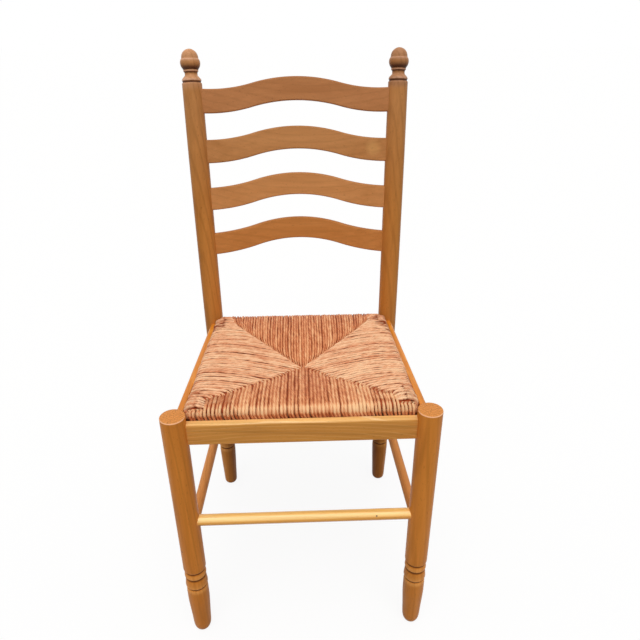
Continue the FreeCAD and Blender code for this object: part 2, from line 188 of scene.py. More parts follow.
# Where the four panels of the weave meet, on the right; the left side mirrors the mitres, and the laps are
# given for both sides
WEAVE_MIDDLE = Vector((0.001, -0.042, 0))
FRONT_MITRE = [(0.143, -0.158), (0.122, -0.150), (0.077, -0.115), (0.046, -0.094)]
BACK_MITRE = [(0.046, 0.003), (0.096, 0.054), (0.124, 0.092), (0.136, 0.131)]
LAP_RIGHT = [(0.200, -0.190), (0.176, -0.187), (0.163, -0.182), (0.1445, -0.180)]
LAP_LEFT = [(-0.200, -0.190), (-0.175, -0.188), (-0.147, -0.185), (-0.149, -0.163)]

# Camera, fitted to the photograph
CAMERA_PLACE = Vector((0.004317, -0.681496 + FRONT_Y, 0.963409))
CAMERA_YAW = 0.0335144
CAMERA_PITCH = 0.464204
CAMERA_ROLL = 0.0067072
CAMERA_LENS = 31.574

# Light
SKY_LOW = 0.30
SKY_HIGH = 0.80
SUN_ENERGY = 1.30
SUN_ANGLE = radians(50)
SUN_COLOUR = (1.0, 0.98, 0.94)
SUN_FROM = (0.0, -0.58, 1.0)
FLOOR_HALF = 60.0
FLOOR_BOUNCE = 0.20
FLOOR_WHITE = 0.12

# Grain of the beech: how far it is drawn out along the wood, and the scales of its patterns
GRAIN_SQUEEZE = 0.055
FLECK_SQUEEZE = 0.22
ARCH_SQUEEZE = 0.16
FIGURE_SCALE = 26
BAND_SCALE = 42
STREAK_SCALE = 210
FLECK_SCALE = 620
ARCH_SCALE = 55
RING_SCALE = 75
PORE_SCALE = 480
SIDE_ARCH = (0.0, -0.06, 0.400)
FACE_ARCH = (-0.047, 0.0, 0.400)

# Tones of the lacquered beech, light and dark
HONEY = ((0.81, 0.292, 0.046), (0.69, 0.228, 0.031))
POST_TONE = ((0.63, 0.248, 0.052), (0.53, 0.195, 0.035))
LEG_END = ((0.86, 0.345, 0.085), (0.64, 0.222, 0.040))
SLAT_TONES = [
    ((0.67, 0.272, 0.075), (0.57, 0.214, 0.050)),
    ((0.73, 0.328, 0.115), (0.62, 0.259, 0.081)),
    ((0.67, 0.303, 0.108), (0.56, 0.238, 0.075)),
    ((0.63, 0.268, 0.102), (0.52, 0.207, 0.071)),
]
RAIL_TONE = ((0.80, 0.345, 0.064), (0.68, 0.265, 0.040))
FRONT_RUNG_TONE = ((1.0, 0.462, 0.072), (0.96, 0.385, 0.048))
RUNG_TONE = ((0.94, 0.385, 0.112), (0.82, 0.308, 0.078))
RAW_TONE = ((0.62, 0.42, 0.23), (0.52, 0.33, 0.17))
# A guessed colour for the hidden frame, kept dark as painted shade where it shows between strands
FRAME_TONE = ((0.34, 0.110, 0.040), (0.26, 0.075, 0.026))
# Painted highlight on the front of a leg top's rim
RIM_PAINTED_HIGHLIGHT = (1.0, 0.54, 0.29)

# Painted shade for the grooves of turned pieces, and tints that multiply the wood's colour, the first of them
# a painted highlight for their beads
GROOVE_PAINTED_SHADE = (0.075, 0.018, 0.005)
TURNED_PAINTED_HIGHLIGHT = (1.26, 1.55, 2.6)
ARCH_TINT = (1.12, 1.28, 1.75)
DARK_KNOT = (0.20, 0.20, 0.32)
PALE_FIGURE = (1.22, 1.38, 1.42)
# Painted shade on the inner sides of the feet and of the posts' lower parts
INNER_FOOT_SHADE = [(0.86, 0.85, 0.80), (0.76, 0.75, 0.72)]
INNER_POST_SHADE = (0.42, 0.37, 0.34)
FOOT_SHADE_BELOW = 0.17
POST_SHADE_BELOW = 0.42

# Fades over a height or towards faces that look up: kind, start, end and the tint at the end. Those of the
# rail and slat tops, the rung, the upper posts and the right low post are painted highlight, sheen and shade
# Painted highlight on the front rail's top band
FRONT_RAIL_PAINTED_HIGHLIGHT = ("up", 0.2, 0.95, (1.24, 1.66, 3.20))
# Painted shade that darkens and warms the side rails' tops
SIDE_RAIL_TOP_PAINTED_SHADE = ("up", 0.2, 0.95, (1.0, 0.81, 0.48))
# Painted shade on the slats' top edges
SLAT_TOP_PAINTED_SHADE = ("up", 0.3, 0.9, (0.74, 0.66, 0.55))
# Painted highlight along the front rung's crest, and painted shade on its very top
RUNG_PAINTED_HIGHLIGHT = ("up", 0.15, 0.55, (1.24, 1.92, 5.2))
RUNG_TOP_PAINTED_SHADE = ("up", 0.88, 0.99, (0.94, 0.80, 0.64))
FRAME_TOP = ("height", 0.4525, 0.4560, (2.35, 3.80, 5.30))
# Painted sheen on the upper posts
UPPER_POST_PAINTED_SHEEN = ("height", 0.66, 0.86, (1.02, 1.15, 1.82))
FINIAL_TINTS = [("height", 0.886, 0.892, (1.06, 1.10, 1.28)), ("height", 0.886, 0.892, (0.84, 0.85, 1.00))]
# Below the seat the left post is made lighter, and the right post darker as painted shade
LOW_POST_TONE_AND_SHADE = [("height", 0.42, 0.37, (1.35, 1.30, 1.10)), ("height", 0.42, 0.37, (1.00, 0.90, 0.55))]

# Spots: a place, a radius and a tint
LEG_SPOTS = [((-0.2049, -0.2160, 0.2039), 0.0022, DARK_KNOT)]
POST_SPOTS = [((-0.1695, 0.1321, 0.5608), 0.0042, DARK_KNOT)]
RUNG_SPOTS = [((0.1175, -0.2108, 0.2654), 0.0020, DARK_KNOT)]
SLAT_SPOTS = [((0.1390, 0.1690, 0.7855), 0.0165, PALE_FIGURE)]

# Rush from its darkest to its palest shade, and the colours of the painted shade in the gaps between its
# strands
RUSH_TONES = [
    (0.0, (0.340, 0.080, 0.030)),
    (0.3, (0.58, 0.190, 0.080)),
    (0.55, (0.78, 0.350, 0.170)),
    (0.8, (0.94, 0.550, 0.310)),
    (1.0, (1.0, 0.68, 0.40)),
]
GAP_SHADE_BRICK = (0.36, 0.078, 0.022)
GAP_SHADE_DARK = (0.26, 0.050, 0.014)
GAP_SHADE_DEEP = (0.42, 0.082, 0.024)

SIDE_NAMES = ["front", "right", "back", "left"]

random.seed(11)


def connect(tree, value, socket):
    """Links a value that is a socket, and sets one that is plain."""
    if isinstance(value, bpy.types.NodeSocket):
        tree.links.new(value, socket)
    else:
        socket.default_value = value


def set_inputs(tree, node, inputs):
    """Gives a node its inputs by name, each a value or a socket to link from."""
    for name, value in inputs.items():
        connect(tree, value, node.inputs[name])


def add(tree, kind, inputs=None, **settings):
    """New shader node with its settings and inputs."""
    made = tree.nodes.new("ShaderNode" + kind)
    for name, value in settings.items():
        setattr(made, name, value)
    set_inputs(tree, made, inputs or {})
    return made


def fit(tree, value, low, high, to_low=0.0, to_high=1.0):
    """Value moved from one range to another and held inside it."""
    inputs = {"Value": value, "From Min": low, "From Max": high, "To Min": to_low, "To Max": to_high}
    return add(tree, "MapRange", inputs).outputs["Result"]


def maths(tree, operation, first, second):
    """Result of two values, each a number or a socket."""
    made = add(tree, "Math", operation=operation)
    connect(tree, first, made.inputs[0])
    connect(tree, second, made.inputs[1])
    return made.outputs["Value"]


def part_of(tree, vector, axis):
    """One of the three values of a vector."""
    return add(tree, "SeparateXYZ", {"Vector": vector}).outputs[axis]


def field(tree, *terms):
    """Vector of two or three values, each times its own scale, for a pattern to be read at."""
    scaled = {axis: maths(tree, "MULTIPLY", value, scale) for axis, (value, scale) in zip("XYZ", terms)}
    return add(tree, "CombineXYZ", scaled).outputs[0]


def mixed(tree, factor, first, second, kind="MIX"):
    """Mix of two colours, each a colour or a socket."""
    made = add(tree, "Mix", data_type="RGBA", blend_type=kind)
    for value, index in ((factor, 0), (first, 6), (second, 7)):
        connect(tree, (*value, 1) if isinstance(value, tuple) else value, made.inputs[index])
    return made.outputs[2]


def noise_of(tree, vector, scale, detail=2.0, roughness=0.5, distortion=0.0):
    """Soft noise of a scale."""
    inputs = {"Vector": vector, "Scale": scale, "Detail": detail}
    inputs.update({"Roughness": roughness, "Distortion": distortion})
    return add(tree, "TexNoise", inputs).outputs["Fac"]


def wave_of(tree, vector, scale, distortion, detail_scale, **settings):
    """Bands or rings of a scale, bent by noise."""
    inputs = {"Vector": vector, "Scale": scale, "Distortion": distortion, "Detail": 2.0}
    return add(tree, "TexWave", {**inputs, "Detail Scale": detail_scale}, **settings).outputs["Fac"]


def stretched(tree, place, along, factor, shift):
    """Places squeezed along one axis, so that a pattern on them is drawn out that way."""
    scale = [1.0, 1.0, 1.0]
    scale[along] = factor
    return add(tree, "Mapping", {"Vector": place, "Scale": scale, "Location": shift}).outputs[0]


def shaded(colour, factor):
    """A colour times a factor, held below white."""
    return tuple(min(1.0, channel * factor) for channel in colour)


def new_material(name):
    """New material with its node tree and its shader."""
    material = bpy.data.materials.new(name)
    material.use_nodes = True
    return material, material.node_tree, material.node_tree.nodes["Principled BSDF"]


def set_surface(tree, shader, relief, strength, distance, inputs):
    """Gives a shader its bump and its other inputs."""
    bump = add(tree, "Bump", {"Height": relief, "Strength": strength, "Distance": distance})
    set_inputs(tree, shader, {"Normal": bump.outputs["Normal"], **inputs})


def wood(
    name, light, dark, along, seed, shine=0.35, coat=0.03, coat_ior=1.5,
    fades=(), spots=(), contrast=1.0, arch=None,
):
    """Lacquered beech with its grain along one axis: growth bands, streaks and ray flecks.

    Each fade and each spot ends in the tint that it brings. An arch is the place that fine pale
    arched lines of a flat-sawn face run round.
    """
    material, tree, shader = new_material(name)
    place = add(tree, "TexCoord").outputs["Object"]
    facing = add(tree, "TexCoord").outputs["Normal"]
    shift = tuple(step * seed for step in (0.37, 0.71, 0.53))
    grain = stretched(tree, place, along, GRAIN_SQUEEZE, shift)
    dashes = stretched(tree, place, along, FLECK_SQUEEZE, shift)
    figure = noise_of(tree, grain, FIGURE_SCALE, detail=2, distortion=0.8)
    bands = wave_of(tree, grain, BAND_SCALE, 7.0, 0.6, bands_direction="DIAGONAL")
    streaks = noise_of(tree, grain, STREAK_SCALE, detail=3, roughness=0.6)
    flecks = fit(tree, noise_of(tree, dashes, FLECK_SCALE, detail=1), 0.66, 0.76)
    layers = [
        (fit(tree, bands, 0.72, 1.0, 0.0, 0.34 * contrast), shaded(dark, 0.72)),
        (fit(tree, streaks, 0.5, 0.75, 0.0, 0.30 * contrast), shaded(dark, 0.72)),
        (fit(tree, streaks, 0.48, 0.28, 0.0, 0.25), shaded(light, 1.22)),
        (maths(tree, "MULTIPLY", flecks, 0.4), shaded(dark, 0.5)),
    ]
    colour = mixed(tree, fit(tree, figure, 0.32, 0.68), dark, light)
    for share, tone in layers:
        colour = mixed(tree, share, colour, tone)
    if arch:
        colour = arched_lines(tree, colour, place, along, arch)
    # Each point of a turned piece carries a tint: below 0 painted shade in its grooves, above 0 a painted
    # highlight on its beads
    tint = add(tree, "Attribute", attribute_name="tint").outputs["Fac"]
    colour = mixed(tree, fit(tree, tint, 0.0, -1.0, 0.0, 0.86), colour, GROOVE_PAINTED_SHADE)
    tints = [(fit(tree, tint, 0.0, 1.0), TURNED_PAINTED_HIGHLIGHT)]
    tints += [(fade_share(tree, place, facing, *fade), tone) for *fade, tone in fades]
    tints += [(spot_share(tree, place, *spot), tone) for *spot, tone in spots]
    for share, tone in tints:
        colour = mixed(tree, share, colour, tone, kind="MULTIPLY")
    relief = maths(tree, "ADD", maths(tree, "MULTIPLY", flecks, -0.5), streaks)
    set_surface(tree, shader, relief, 0.12, 0.0004, {
        "Base Color": colour,
        "Roughness": fit(tree, streaks, 0.3, 0.7, shine, shine + 0.12),
        "Specular IOR Level": 0.10,
        "Coat Weight": coat,
        "Coat IOR": coat_ior,
        "Coat Roughness": 0.22,
    })
    return material


def fade_share(tree, place, facing, kind, low, high):
    """How far a fade has come, between two heights or two steepnesses of an upward face.

    An inner fade, which is painted shade, grows towards the inner side of a leg instead: low is then the
    leg's side, 1 on the right and -1 on the left, and high the height that it stays below.
    """
    if kind == "inner":
        inwards = maths(tree, "MULTIPLY", part_of(tree, facing, "X"), -low)
        under = fit(tree, part_of(tree, place, "Z"), high, high - 0.05)
        return maths(tree, "MULTIPLY", fit(tree, inwards, -0.8, 0.95), under)
    return fit(tree, part_of(tree, place if kind == "height" else facing, "Z"), low, high)


def spot_share(tree, place, centre, radius):
    """1 near a spot's centre, fading to 0 at its radius."""
    gap = add(tree, "VectorMath", operation="DISTANCE")
    connect(tree, place, gap.inputs[0])
    connect(tree, centre, gap.inputs[1])
    return fit(tree, gap.outputs["Value"], radius * 0.4, radius, 1.0, 0.0)


def arched_lines(tree, colour, place, along, centre):
    """Fine pale lines nested like arches round a centre, as on a flat-sawn board."""
    shift = [-value for value in centre]
    shift[along] *= ARCH_SQUEEZE
    nested = stretched(tree, place, along, ARCH_SQUEEZE, shift)
    direction = "Y" if along == X else "X"
    rings = wave_of(tree, nested, ARCH_SCALE, 2.4, 2.0, wave_type="RINGS", rings_direction=direction)
    return mixed(tree, fit(tree, rings, 0.84, 1.0, 0.0, 0.95), colour, ARCH_TINT, kind="MULTIPLY")


def end_grain(name, light, dark, centre):
    """Cut end of a turned leg: growth rings about a point beside its axis, pores and a painted highlight on
    its front rim.
    """
    material, tree, shader = new_material(name)
    place = add(tree, "TexCoord").outputs["Object"]
    facing = add(tree, "TexCoord").outputs["Normal"]
    moved = add(tree, "Mapping", {"Vector": place, "Location": centre}).outputs[0]
    rings = wave_of(tree, moved, RING_SCALE, 3.5, 1.5, wave_type="RINGS", rings_direction="Z")
    specks = noise_of(tree, place, PORE_SCALE, detail=4, roughness=0.65)
    # Painted highlight on the rim where it faces forward
    in_front = fit(tree, part_of(tree, facing, "Y"), 0.1, -0.35)
    rim = maths(tree, "MULTIPLY", in_front, fit(tree, part_of(tree, facing, "Z"), 0.985, 0.80))
    colour = mixed(tree, maths(tree, "MULTIPLY", rings, 0.75), light, dark)
    colour = mixed(tree, fit(tree, specks, 0.45, 0.65, 0.0, 0.80), colour, shaded(dark, 0.6))
    set_surface(tree, shader, specks, 0.25, 0.0005, {
        "Base Color": mixed(tree, rim, colour, RIM_PAINTED_HIGHLIGHT),
        "Roughness": 0.5,
        "Specular IOR Level": 0.2,
        "Coat Weight": 0.06,
        "Coat Roughness": 0.3,
    })
    return material


def rush(name, tone, depth, gap, gap_colour, crest=0.25, unbroken=0.6, cast=(1.0, 1.0, 1.0)):
    """Twisted rush: each strand its own colour, changing along it, with fine fibres, a painted highlight on
    its crest and painted shade on its flanks.

    depth is how far the strands differ from tone, gap how much of their colour their flanks keep
    under the painted shade, unbroken how even that painted shade is, and cast tints the whole.
    """
    material, tree, shader = new_material(name)
    strand = add(tree, "Attribute", attribute_name="strand").outputs["Vector"]
    chance = add(tree, "Attribute", attribute_name="chance").outputs["Fac"]
    paler = add(tree, "Attribute", attribute_name="paler").outputs["Fac"]
    length, across, lift = add(tree, "SeparateXYZ", {"Vector": strand}).outputs
    twist = maths(tree, "ADD", across, maths(tree, "MULTIPLY", length, 90.0))
    patch = noise_of(tree, field(tree, (length, 34.0), (chance, 57.0)), 1.0, detail=3, roughness=0.6)
    fibre_place = field(tree, (length, 70.0), (twist, 3.2), (chance, 91.0))
    fibre = noise_of(tree, fibre_place, 1.0, detail=3, roughness=0.65)
    seed = maths(tree, "MULTIPLY", chance, 613.0)
    own = add(tree, "TexWhiteNoise", {"W": seed}, noise_dimensions="1D").outputs[0]
    shade = maths(tree, "ADD", maths(tree, "MULTIPLY", own, depth), tone)
    changes = [
        fit(tree, patch, 0.3, 0.7, -0.20, 0.20),
        fit(tree, fibre, 0.3, 0.7, -0.34, 0.34),
        # painted highlight along each strand's crest
        fit(tree, lift, 0.84, 1.0, 0.0, crest),
        paler,
    ]
    for change in changes:
        shade = maths(tree, "ADD", shade, change)
    ramp = add(tree, "ValToRGB", {"Fac": shade})
    stops = ramp.color_ramp.elements
    stops.remove(stops[1])
    stops[0].color = (*RUSH_TONES[0][1], 1)
    for position, colour in RUSH_TONES[1:]:
        stops.new(position).color = (*colour, 1)
    dashes = noise_of(tree, field(tree, (length, 75.0), (chance, 37.0)), 1.0, detail=1)
    broken = fit(tree, dashes, 0.42, 0.58, unbroken, 1.0)
    # Painted shade on the strands' flanks, broken into dashes
    shadow = maths(tree, "MULTIPLY", fit(tree, lift, 0.25, 0.88, 1.0 - gap, 0.0), broken)
    colour = mixed(tree, 1.0, ramp.outputs["Color"], cast, kind="MULTIPLY")
    set_surface(tree, shader, fibre, 0.5, 0.0006, {
        "Base Color": mixed(tree, shadow, colour, gap_colour),
        "Roughness": fit(tree, fibre, 0.3, 0.7, 0.36, 0.50),
        "Specular IOR Level": 0.12,
    })
    return material


def mesh_object(name, points, faces, materials):
    """New smooth mesh object from points and faces of vertex numbers."""
    mesh = bpy.data.meshes.new(name)
    mesh.from_pydata([tuple(point) for point in points], [], faces)
    mesh.validate()
    sheet = bmesh.new()
    sheet.from_mesh(mesh)
    bmesh.ops.recalc_face_normals(sheet, faces=sheet.faces)
    sheet.to_mesh(mesh)
    sheet.free()
    for material in materials:
        mesh.materials.append(material)
    mesh.polygons.foreach_set("use_smooth", [True] * len(mesh.polygons))
    made = bpy.data.objects.new(name, mesh)
    bpy.context.scene.collection.objects.link(made)
    return made


def tube_faces(rings, count, start=0):
    """Faces of a tube of rings with count points each, both ends closed, the last face the far end."""
    faces = []
    for ring in range(rings - 1):
        for index in range(count):
            after = (index + 1) % count
            low = start + ring * count
            high = low + count
            faces.append((low + index, low + after, high + after, high + index))
    last = start + (rings - 1) * count
    faces.append(tuple(reversed(range(start, start + count))))
    faces.append(tuple(range(last, last + count)))
    return faces


def curved(points, steps=5):
    """Smooth line through rows of numbers, as a Catmull-Rom spline."""
    ends = [points[0]] + list(points) + [points[-1]]
    line = []
    for rows in zip(ends, ends[1:], ends[2:], ends[3:]):
        for index in range(steps):
            t = index / steps
            line.append(tuple(
                q + 0.5 * ((r - p) * t + (2 * p - 5 * q + 4 * r - s) * t**2 + (3 * (q - r) - p + s) * t**3)
                for p, q, r, s in zip(*rows)
            ))
    line.append(tuple(points[-1]))
    return line


def clamp(value, low=0.0, high=1.0):
    """The value held between two others."""
    return min(high, max(low, value))


def quarter(steps, first=0):
    """Sine and cosine in even steps along a quarter turn, from its first one that is wanted."""
    angles = [pi / 2 * index / steps for index in range(first, steps + 1)]
    return [(sin(angle), cos(angle)) for angle in angles]


def lathe(name, profile, axis_at, materials, sides=64, rim_rings=0):
    """Turned piece: rings of a profile about an axis that may bend.

    Each row of the profile is a height, a radius and, where it matters, a tint from -1 dark to 1 pale:
    painted shade in a groove below 0, a painted highlight on a bead above 0.
    The last material is for the top face and for the rings of the rim below it.
    """
    points = []
    tints = []
    for height, radius, *tint in profile:
        tints += (tint or [0.0]) * sides
        centre, lean = axis_at(height)
        across = Vector((1, 0, 0)) if abs(lean.x) < 0.7 else Vector((0, 1, 0))
        across = (across - lean * across.dot(lean)).normalized()
        other = lean.cross(across)
        for index in range(sides):
            angle = 2 * pi * index / sides
            points.append(centre + (across * cos(angle) + other * sin(angle)) * radius)
    faces = tube_faces(len(profile), sides)
    made = mesh_object(name, points, faces, materials)
    made.data.attributes.new("tint", "FLOAT", "POINT").data.foreach_set("value", tints)
    far_end = len(faces) - 1
    for index in (far_end, *range(far_end - 1 - rim_rings * sides, far_end - 1)):
        made.data.polygons[index].material_index = len(materials) - 1
    made.data.set_sharp_from_angle(angle=TURNED_SHARP)
    return made


def post_lean(slope, side):
    """Direction of a post's axis where it leans back by a slope; side is 1 on the right, -1 on the left."""
    backwards = Vector((POST_SPLAY * side, 1, 0)).normalized()
    return backwards * sin(slope) + Vector((0, 0, cos(slope)))


def post_axis(side):
    """Function that gives the point and the direction of a post's axis at a height."""
    backwards = Vector((POST_SPLAY * side, 1, 0)).normalized()
    foot = Vector((POST_FOOT.x * side, POST_FOOT.y, 0))
    bends = []
    point = foot + post_lean(POST_SLOPES[0], side) * (POST_BENDS[0][0] / cos(POST_SLOPES[0]))

    def arm(slope):
        return backwards * cos(slope) - Vector((0, 0, sin(slope)))

    for (low, high), start, end in zip(POST_BENDS, POST_SLOPES, POST_SLOPES[1:]):
        radius = (high - low) / (sin(end) - sin(start))
        centre = point + arm(start) * radius
        bends.append((centre, radius, high))
        point = centre - arm(end) * radius
    bend_end = point

    def axis_at(height):
        if height <= POST_BENDS[0][0]:
            lean = post_lean(POST_SLOPES[0], side)
            return foot + lean * (height / lean.z), lean
        for centre, radius, high in bends:
            if height <= high:
                slope = asin((height - centre.z) / radius)
                return centre - arm(slope) * radius, post_lean(slope, side)
        lean = post_lean(POST_SLOPES[-1], side)
        return bend_end + lean * ((height - bend_end.z) / lean.z), lean

    return axis_at


def foot_profile(first_groove, collar, shaft, taper):
    """Turned foot: rounded tip, taper, then a flared and a small bead between three grooves.

    The shapes are in millimetres from the first groove and the collar's radius, with their tints: painted
    shade in the grooves and a painted highlight on the beads.
    """
    profile = curved(taper + [(first_groove - 0.016, collar)])
    step = (shaft - collar) / MM
    shapes = [
        [(-11.0, 0, 0.1), (-7.0, -0.2, 0.8), (-3.5, -0.6, 0.9), (-2.2, -1.2, 0.1), (-1.2, -2.2, -0.9)],
        [(-0.7, -2.7, -1), (0.3, -2.9, -1), (1.3, -2.4, -1)],
        [(1.5, -1.6, -0.8), (2.4, -0.2, 0.3), (3.8, 0.5, 0.9), (6.2, 0.4, 0.8), (10.0, 0, 0.4),
         (15.0, -0.5, 0.2), (18.5, -1.0, 0), (20.8, -1.7, -0.7)],
        [(21.8, -2.5, -1), (23.2, -2.9, -1), (24.4, -2.2, -1)],
        [(24.6, -1.5, -0.4), (25.7, -0.3, 0.6), (27.3, 0, 0.8), (30.0, -0.3, 0.7), (33.0, -0.9, 0.5),
         (35.4, -1.6, -0.2), (36.8, -2.3, -1)],
        [(37.3, -2.8, -1), (38.5, -3.0, -1), (39.6, -2.4, -1)],
        [(39.9, step - 1.3, -1), (41.0, step - 0.5, -0.4), (42.2, step - 0.1, 0), (43.6, step, 0)],
    ]
    for shape in shapes:
        profile += [(first_groove + up * MM, collar + out * MM, tint) for up, out, tint in curved(shape, 4)]
    return profile


def front_leg(name, side, materials):
    """Turned front leg with an eased rim; its second material is the end grain."""
    profile = foot_profile(LEG_GROOVE, LEG_COLLAR, LEG_RADIUS, LEG_TAPER)
    profile += [(height, LEG_RADIUS) for height in (0.20, 0.30, 0.40, 0.45, 0.4655)]
    for sine, cosine in quarter(RIM_STEPS):
        profile.append((LEG_HEIGHT - LEG_ROUND * (1 - sine), LEG_RADIUS - LEG_ROUND * (1 - cosine)))

    def axis_at(height):
        return Vector((LEG_X * side, FRONT_Y, height)), Vector((0, 0, 1))

    leg = lathe(name, profile, axis_at, materials, rim_rings=RIM_STEPS)
    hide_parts(name.replace("turned_", ""))
    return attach(leg, "frame")


def finial_profile(base, lean_z):
    """Acorn finial from the shaft's end as rows for lathe: base ring, hollow neck, fillet, acorn and cap.

    The shapes are in millimetres along the post's end and out from its axis, with their tints: painted shade
    in the hollows and a painted highlight on the rounded parts.
    """
    shaft = POST_TOP_RADIUS / MM
    shapes = [
        [(0.0, shaft, 0.2), (1.8, shaft, 0.5), (2.7, shaft - 0.4, 0)],
        [(2.9, shaft - 1.0, -0.9), (4.2, 15.6, -1), (5.6, 16.0, -1)],
        [(6.0, 16.3, -0.3), (6.8, 16.6, 0.9), (8.0, 16.5, 1.0), (9.5, 15.9, 0.6), (11.2, 14.5, 0.4),
         (13.0, 12.7, 0.4), (15.0, 11.3, 0.3), (17.0, 10.9, 0.1), (18.8, 11.0, -0.5)],
        [(20.2, 11.4, -1), (20.9, 12.0, -0.9)],
        [(21.1, 12.4, 0.2), (21.8, 12.8, 0.9), (23.0, 12.9, 0.9), (24.0, 12.8, -0.6)],
        [(24.3, 12.5, -1), (25.0, 13.1, -1), (27.2, 14.7, -1), (30.0, 16.2, -0.45), (33.0, 17.0, -0.12),
         (36.0, 17.1, 0.1), (38.5, 16.7, 0.4), (40.3, 16.0, 0.9), (41.2, 15.4, 0.9)],
        [(41.6, 14.9, 0.3), (43.0, 14.6, 0.3), (46.0, 14.2, 0.3), (49.0, 13.3, 0.3), (52.0, 11.6, 0.4),
         (54.5, 9.1, 0.4), (56.3, 6.2, 0.5), (57.4, 3.4, 0.5), (58.0, 0.3, 0.5)],
    ]
    line = [row for shape in shapes for row in curved(shape, 4)]
    return [(base + length * MM * lean_z, radius * MM, tint) for length, radius, tint in line]


def back_post(name, side, materials):
    """Turned back post, bent twice, with its finial; side is 1 on the right, -1 on the left."""
    axis_at = post_axis(side)
    top_lean = post_lean(POST_SLOPES[-1], side).z
    base = POST_HEIGHT - FINIAL_LENGTH * top_lean
    profile = foot_profile(POST_GROOVE, POST_COLLAR, POST_RADIUS, POST_TAPER)
    height = SHAFT_START
    while height < base - 0.005:
        narrowing = max(0.0, (height - POST_NARROWING) / (base - POST_NARROWING))
        profile.append((height, POST_RADIUS + (POST_TOP_RADIUS - POST_RADIUS) * narrowing))
        height += SHAFT_STEP
    profile += finial_profile(base, top_lean)
    post = lathe(name, profile, axis_at, materials)
    for vertex in post.data.vertices:
        vertex.co.z = max(vertex.co.z, 0.0)
    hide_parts(name.replace("turned_", ""))
    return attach(post, "frame")


def rounded_outline(corners, radii, steps=5):
    """Closed outline through corners with rounded turns, and points beside each turn that keep flats flat."""
    outline = []
    for index, (place, radius) in enumerate(zip(corners, radii)):
        corner = Vector(place)
        before = (Vector(corners[index - 1]) - corner).normalized()
        after = (Vector(corners[(index + 1) % len(corners)]) - corner).normalized()
        beside = radius * 1.25 + 0.0001
        outline.append(corner + before * beside)
        for sine, cosine in quarter(steps):
            outline.append(corner + (before * (1 - sine) + after * (1 - cosine)) * radius)
        outline.append(corner + after * beside)
    return outline


def slat_rise(x):
    """How far a slat's middle line stands above its ends at a place across the chair."""
    half = SLAT_CLEAR_HALF / 2
    radius = (half**2 + (SLAT_RISE / 2) ** 2) / SLAT_RISE
    away = min(abs(x), SLAT_CLEAR_HALF)
    if away < half:
        return SLAT_RISE - radius + sqrt(radius**2 - away**2)
    return radius - sqrt(radius**2 - (SLAT_CLEAR_HALF - away) ** 2)


def slat(name, height, materials):
    """Steam-bent slat with softly rounded edges, its section swept across the chair."""
    point, lean = post_axis(1)(height)
    half_length = point.x - POST_RADIUS + SLAT_TENON
    bend = (SLAT_CLEAR_HALF**2 + SLAT_SAGITTA**2) / (2 * SLAT_SAGITTA)
    corners = [
        (SLAT_THICKNESS / 2 * across, SLAT_WIDTH / 2 * up)
        for across, up in ((1, 1), (-1, 1), (-1, -1), (1, -1))
    ]
    section = rounded_outline(corners, [SLAT_ROUND] * 4)
    tilt = Matrix.Rotation(-atan2(lean.y, lean.z), 3, "X")
    points = []
    for step in range(SLAT_STEPS + 1):
        x = -half_length + 2 * half_length * step / SLAT_STEPS
        radial = Vector((x, sqrt(bend**2 - x**2), 0))
        out = radial.normalized()
        rise = slat_rise(x)
        for across, up in section:
            place = Vector((0, SLAT_SAGITTA - bend, 0)) + radial + out * across
            place.z = rise + up
            points.append(tilt @ place + Vector((0, point.y, point.z)))
    made = mesh_object("bent_" + name, points, tube_faces(SLAT_STEPS + 1, len(section)), materials)
    made.data.set_sharp_from_angle(angle=SWEPT_SHARP)
    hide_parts(name)
    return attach(made, "frame")


def rail(name, side, materials):
    """Seat rail between two legs: rounded outer edge, lip and rebate, its ends inside the legs."""
    start = SEAT_CORNERS[side]
    run = SEAT_CORNERS[(side + 1) % 4] - start
    corners = [
        (RAIL_OUTER, RAIL_TOP), (RAIL_OUTER, RAIL_BOTTOM), (RAIL_INNER, RAIL_BOTTOM),
        (RAIL_INNER, RAIL_LEDGE), (RAIL_LIP, RAIL_LEDGE), (RAIL_LIP, RAIL_TOP),
    ]
    section = rounded_outline(corners, [RAIL_ROUND, 0.0012, 0.0008, 0.0006, 0.0002, 0.0009])
    points = []
    for step in range(RAIL_STEPS + 1):
        for depth, height in section:
            place = start + run * (step / RAIL_STEPS) + inward(side) * depth
            points.append(Vector((place.x, place.y, height)))
    made = mesh_object("shaped_" + name, points, tube_faces(RAIL_STEPS + 1, len(section)), materials)
    made.data.set_sharp_from_angle(angle=SWEPT_SHARP)
    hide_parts(name)
    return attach(made, "frame")


def rung(name, first, second, wood_radius, radius, materials):
    """Round rung between two axes, let into the wood at both ends."""
    lean = (second - first).normalized()
    start = wood_radius - RUNG_DEPTH
    end = (second - first).length - start
    steps = 24
    profile = [(start + (end - start) * step / steps, radius) for step in range(steps + 1)]

    def axis_at(length):
        return first + lean * length, lean

    made = lathe("turned_" + name, profile, axis_at, materials, sides=48)
    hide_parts(name)
    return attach(made, "frame")


# The seat's four sides run anticlockwise from the front; each starts at its own corner
post_at_rail = post_axis(1)(RAIL_MIDDLE_Z)[0]
SEAT_CORNERS = [
    Vector((-LEG_X, FRONT_Y, 0)),
    Vector((LEG_X, FRONT_Y, 0)),
    Vector((post_at_rail.x, post_at_rail.y, 0)),
    Vector((-post_at_rail.x, post_at_rail.y, 0)),
]


def along(side):
    """Direction of a side of the seat from its own corner to the next."""
    return (SEAT_CORNERS[(side + 1) % 4] - SEAT_CORNERS[side % 4]).normalized()


def inward(side):
    """Direction from a side of the seat into it."""
    return Vector((0, 0, 1)).cross(along(side))


